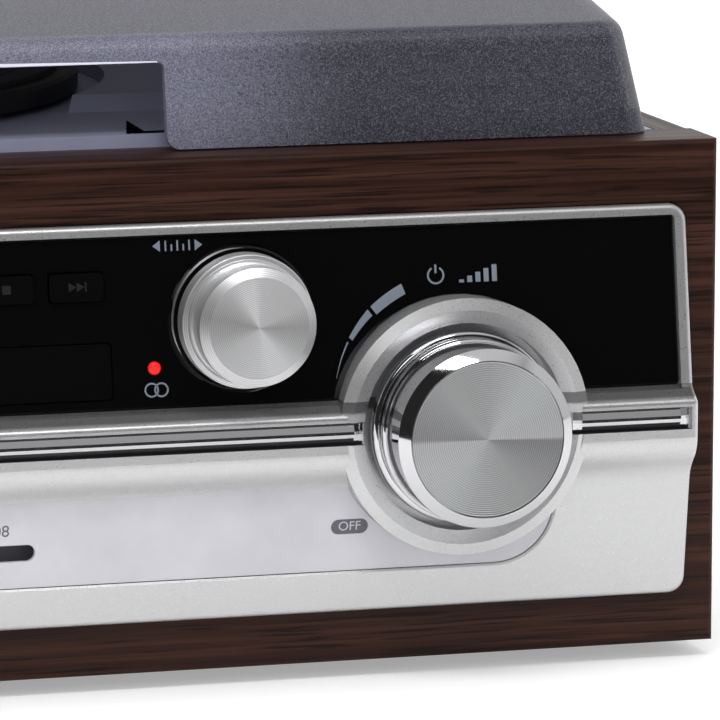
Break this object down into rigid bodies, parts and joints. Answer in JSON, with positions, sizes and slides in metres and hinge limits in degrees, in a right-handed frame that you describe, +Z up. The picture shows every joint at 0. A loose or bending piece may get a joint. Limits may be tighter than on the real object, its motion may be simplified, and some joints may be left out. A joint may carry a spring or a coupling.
{
  "type": "stereo music centre",
  "caption": "Wooden-cased music centre: record deck under a smoked hinged cover, radio with a tuning scale, disc tray, and built-in speakers.",
  "frame": {"origin": "middle of the footprint, in the plane of the feet", "axes": "+X to the right seen from the front, +Y towards the back, +Z up"},
  "size_m": [0.43, 0.368, 0.1791],
  "materials": {
    "walnut_veneer": "walnut-brown veneer with dark straight grain, satin lacquer",
    "satin_silver": "satin silver, fine grain",
    "smoked_acrylic": "smoked clear acrylic, polished",
    "black_glass": "gloss black window panel",
    "display_glass": "dark tinted display window",
    "scale_white": "lavender-white printed scale plate",
    "bright_chrome": "polished bright chrome",
    "turned_aluminium": "turned aluminium with fine rings",
    "satin_chrome": "satin chrome, spun face",
    "lamp_red": "lit red lens",
    "deck_grey": "grey moulded plastic, fine texture",
    "black_plastic": "black moulded plastic",
    "gloss_black": "gloss black plastic",
    "mat_rubber": "ribbed black rubber",
    "foot_rubber": "black rubber",
    "belt_rubber": "flat black drive belt",
    "fibreboard": "pressed fibreboard, dark stain",
    "pine_cleat": "bare softwood",
    "zinc_steel": "bright zinc-plated steel",
    "bearing_brass": "turned brass",
    "cone_paper": "black paper cone",
    "circuit_board": "green circuit board",
    "trough_black": "black moulded trough",
    "pointer_red": "orange-red pointer"
  },
  "bodies": {
    "cabinet": {"front_board": "walnut_veneer", "side_board_left": "walnut_veneer", "side_board_right": "walnut_veneer", "base_board": "fibreboard", "back_panel": "fibreboard", "deck_cleats": "pine_cleat", "rubber_feet": "foot_rubber", "back_screws": "zinc_steel", "front_bezel": "satin_silver", "glass_panel": "black_glass", "display_window": "display_glass", "stereo_lamp": "lamp_red", "knob_collars": "bright_chrome", "scale_plate": "scale_white", "dial_backing": "trough_black", "chrome_bars": "bright_chrome", "rotary_controls": "zinc_steel", "tuning_capacitor": "zinc_steel", "control_board": "circuit_board", "disc_loader": "black_plastic", "deck_plate": "deck_grey", "platter_bearing": "bearing_brass", "deck_motor": "zinc_steel", "drive_belt": "belt_rubber", "tonearm_base": "black_plastic", "arm_rest": "black_plastic", "hinge_brackets": "black_plastic", "hinge_pins": "zinc_steel", "speaker_units": "cone_paper", "speaker_grilles": "black_plastic", "main_board": "circuit_board", "mains_transformer": "zinc_steel", "mains_inlet": "black_plastic", "phono_sockets": "black_plastic"},
    "cover": {"dust_cover": "smoked_acrylic"},
    "turntable": {"platter": "black_plastic", "platter_mat": "mat_rubber", "spindle": "zinc_steel"},
    "pulley": {"motor_pulley": "bearing_brass"},
    "yoke": {"arm_yoke": "black_plastic"},
    "arm": {"tonearm": "satin_chrome", "cartridge": "gloss_black", "counterweight": "black_plastic"},
    "cue_lever": {"cue_lever": "satin_chrome"},
    "cue_lift": {"cue_lift": "zinc_steel"},
    "speed_slider": {"speed_slider": "gloss_black"},
    "volume": {"volume_knob": "bright_chrome", "volume_knob_face": "turned_aluminium"},
    "function": {"function_knob": "bright_chrome", "function_knob_face": "turned_aluminium"},
    "tuning": {"tuning_knob": "satin_chrome"},
    "tone": {"tone_knob": "satin_chrome"},
    "pointer": {"dial_pointer": "pointer_red"},
    "tray": {"tray_front": "gloss_black", "disc_tray": "black_plastic"},
    "disc_hub": {"disc_hub": "black_plastic"},
    "open_button": {"open_button": "satin_chrome"},
    "play_button": {"play_button": "satin_chrome"},
    "stop_button": {"stop_button": "satin_chrome"},
    "skip_button": {"skip_button": "satin_chrome"}
  },
  "joints": [
    {"name": "cover_hinge", "type": "hinge", "parent": "cabinet", "child": "cover", "pos_m": [0, 0.1705, 0.1286], "axis": [-1, 0, 0], "range_deg": [0, 70]},
    {"name": "platter_spin", "type": "hinge", "parent": "cabinet", "child": "turntable", "pos_m": [-0.016, -0.024, 0.121], "axis": [0, 0, -1], "continuous": true},
    {"name": "pulley_spin", "type": "hinge", "parent": "cabinet", "child": "pulley", "pos_m": [-0.07115, 0.03115, 0.121], "axis": [0, 0, -1], "continuous": true},
    {"name": "arm_swing", "type": "hinge", "parent": "cabinet", "child": "yoke", "pos_m": [0.12, 0.082, 0.1435], "axis": [0, 0, -1], "range_deg": [0, 52]},
    {"name": "arm_lift", "type": "hinge", "parent": "yoke", "child": "arm", "pos_m": [0.12, 0.082, 0.1435], "axis": [-0.9673, -0.2538, 0], "range_deg": [0, 1.5]},
    {"name": "cue_lever_turn", "type": "hinge", "parent": "cabinet", "child": "cue_lever", "pos_m": [0.147, 0.082, 0.1352], "axis": [-1, 0, 0], "range_deg": [0, 60]},
    {"name": "cue_lift_slide", "type": "slide", "parent": "cabinet", "child": "cue_lift", "axis": [0, 0, 1], "range_m": [0, 0.00045]},
    {"name": "speed_slide", "type": "slide", "parent": "cabinet", "child": "speed_slider", "axis": [1, 0, 0], "range_m": [-0.007, 0.007]},
    {"name": "volume_turn", "type": "hinge", "parent": "cabinet", "child": "volume", "pos_m": [0.1496, -0.154, 0.0606], "axis": [0, 1, 0], "range_deg": [0, 300]},
    {"name": "function_turn", "type": "hinge", "parent": "cabinet", "child": "function", "pos_m": [-0.1496, -0.154, 0.0606], "axis": [0, 1, 0], "range_deg": [-45, 45]},
    {"name": "tuning_turn", "type": "hinge", "parent": "cabinet", "child": "tuning", "pos_m": [0.0982, -0.154, 0.0871], "axis": [0, 1, 0], "range_deg": [-540, 540]},
    {"name": "tone_turn", "type": "hinge", "parent": "cabinet", "child": "tone", "pos_m": [-0.0982, -0.154, 0.0871], "axis": [0, 1, 0], "range_deg": [-140, 140]},
    {"name": "pointer_slide", "type": "slide", "parent": "cabinet", "child": "pointer", "axis": [1, 0, 0], "range_m": [-0.046, 0.046]},
    {"name": "tray_slide", "type": "slide", "parent": "cabinet", "child": "tray", "axis": [0, -1, 0], "range_m": [0, 0.125]},
    {"name": "disc_spin", "type": "hinge", "parent": "cabinet", "child": "disc_hub", "pos_m": [0, -0.08412, 0.064], "axis": [0, 0, -1], "continuous": true},
    {"name": "open_press", "type": "slide", "parent": "cabinet", "child": "open_button", "axis": [0, 1, 0], "range_m": [0, 0.0012], "stiffness_N_per_m": 300},
    {"name": "play_press", "type": "slide", "parent": "cabinet", "child": "play_button", "axis": [0, 1, 0], "range_m": [0, 0.0012], "stiffness_N_per_m": 300},
    {"name": "stop_press", "type": "slide", "parent": "cabinet", "child": "stop_button", "axis": [0, 1, 0], "range_m": [0, 0.0012], "stiffness_N_per_m": 300},
    {"name": "skip_press", "type": "slide", "parent": "cabinet", "child": "skip_button", "axis": [0, 1, 0], "range_m": [0, 0.0012], "stiffness_N_per_m": 300}
  ],
  "couplings": [
    {"joint": "pulley_spin", "follows": "platter_spin", "ratio": 10},
    {"joint": "arm_lift", "follows": "cue_lever_turn", "ratio": 0.025},
    {"joint": "cue_lift_slide", "follows": "cue_lever_turn", "m_per_rad": 0.0004297},
    {"joint": "pointer_slide", "follows": "tuning_turn", "m_per_rad": 0.00488}
  ]
}
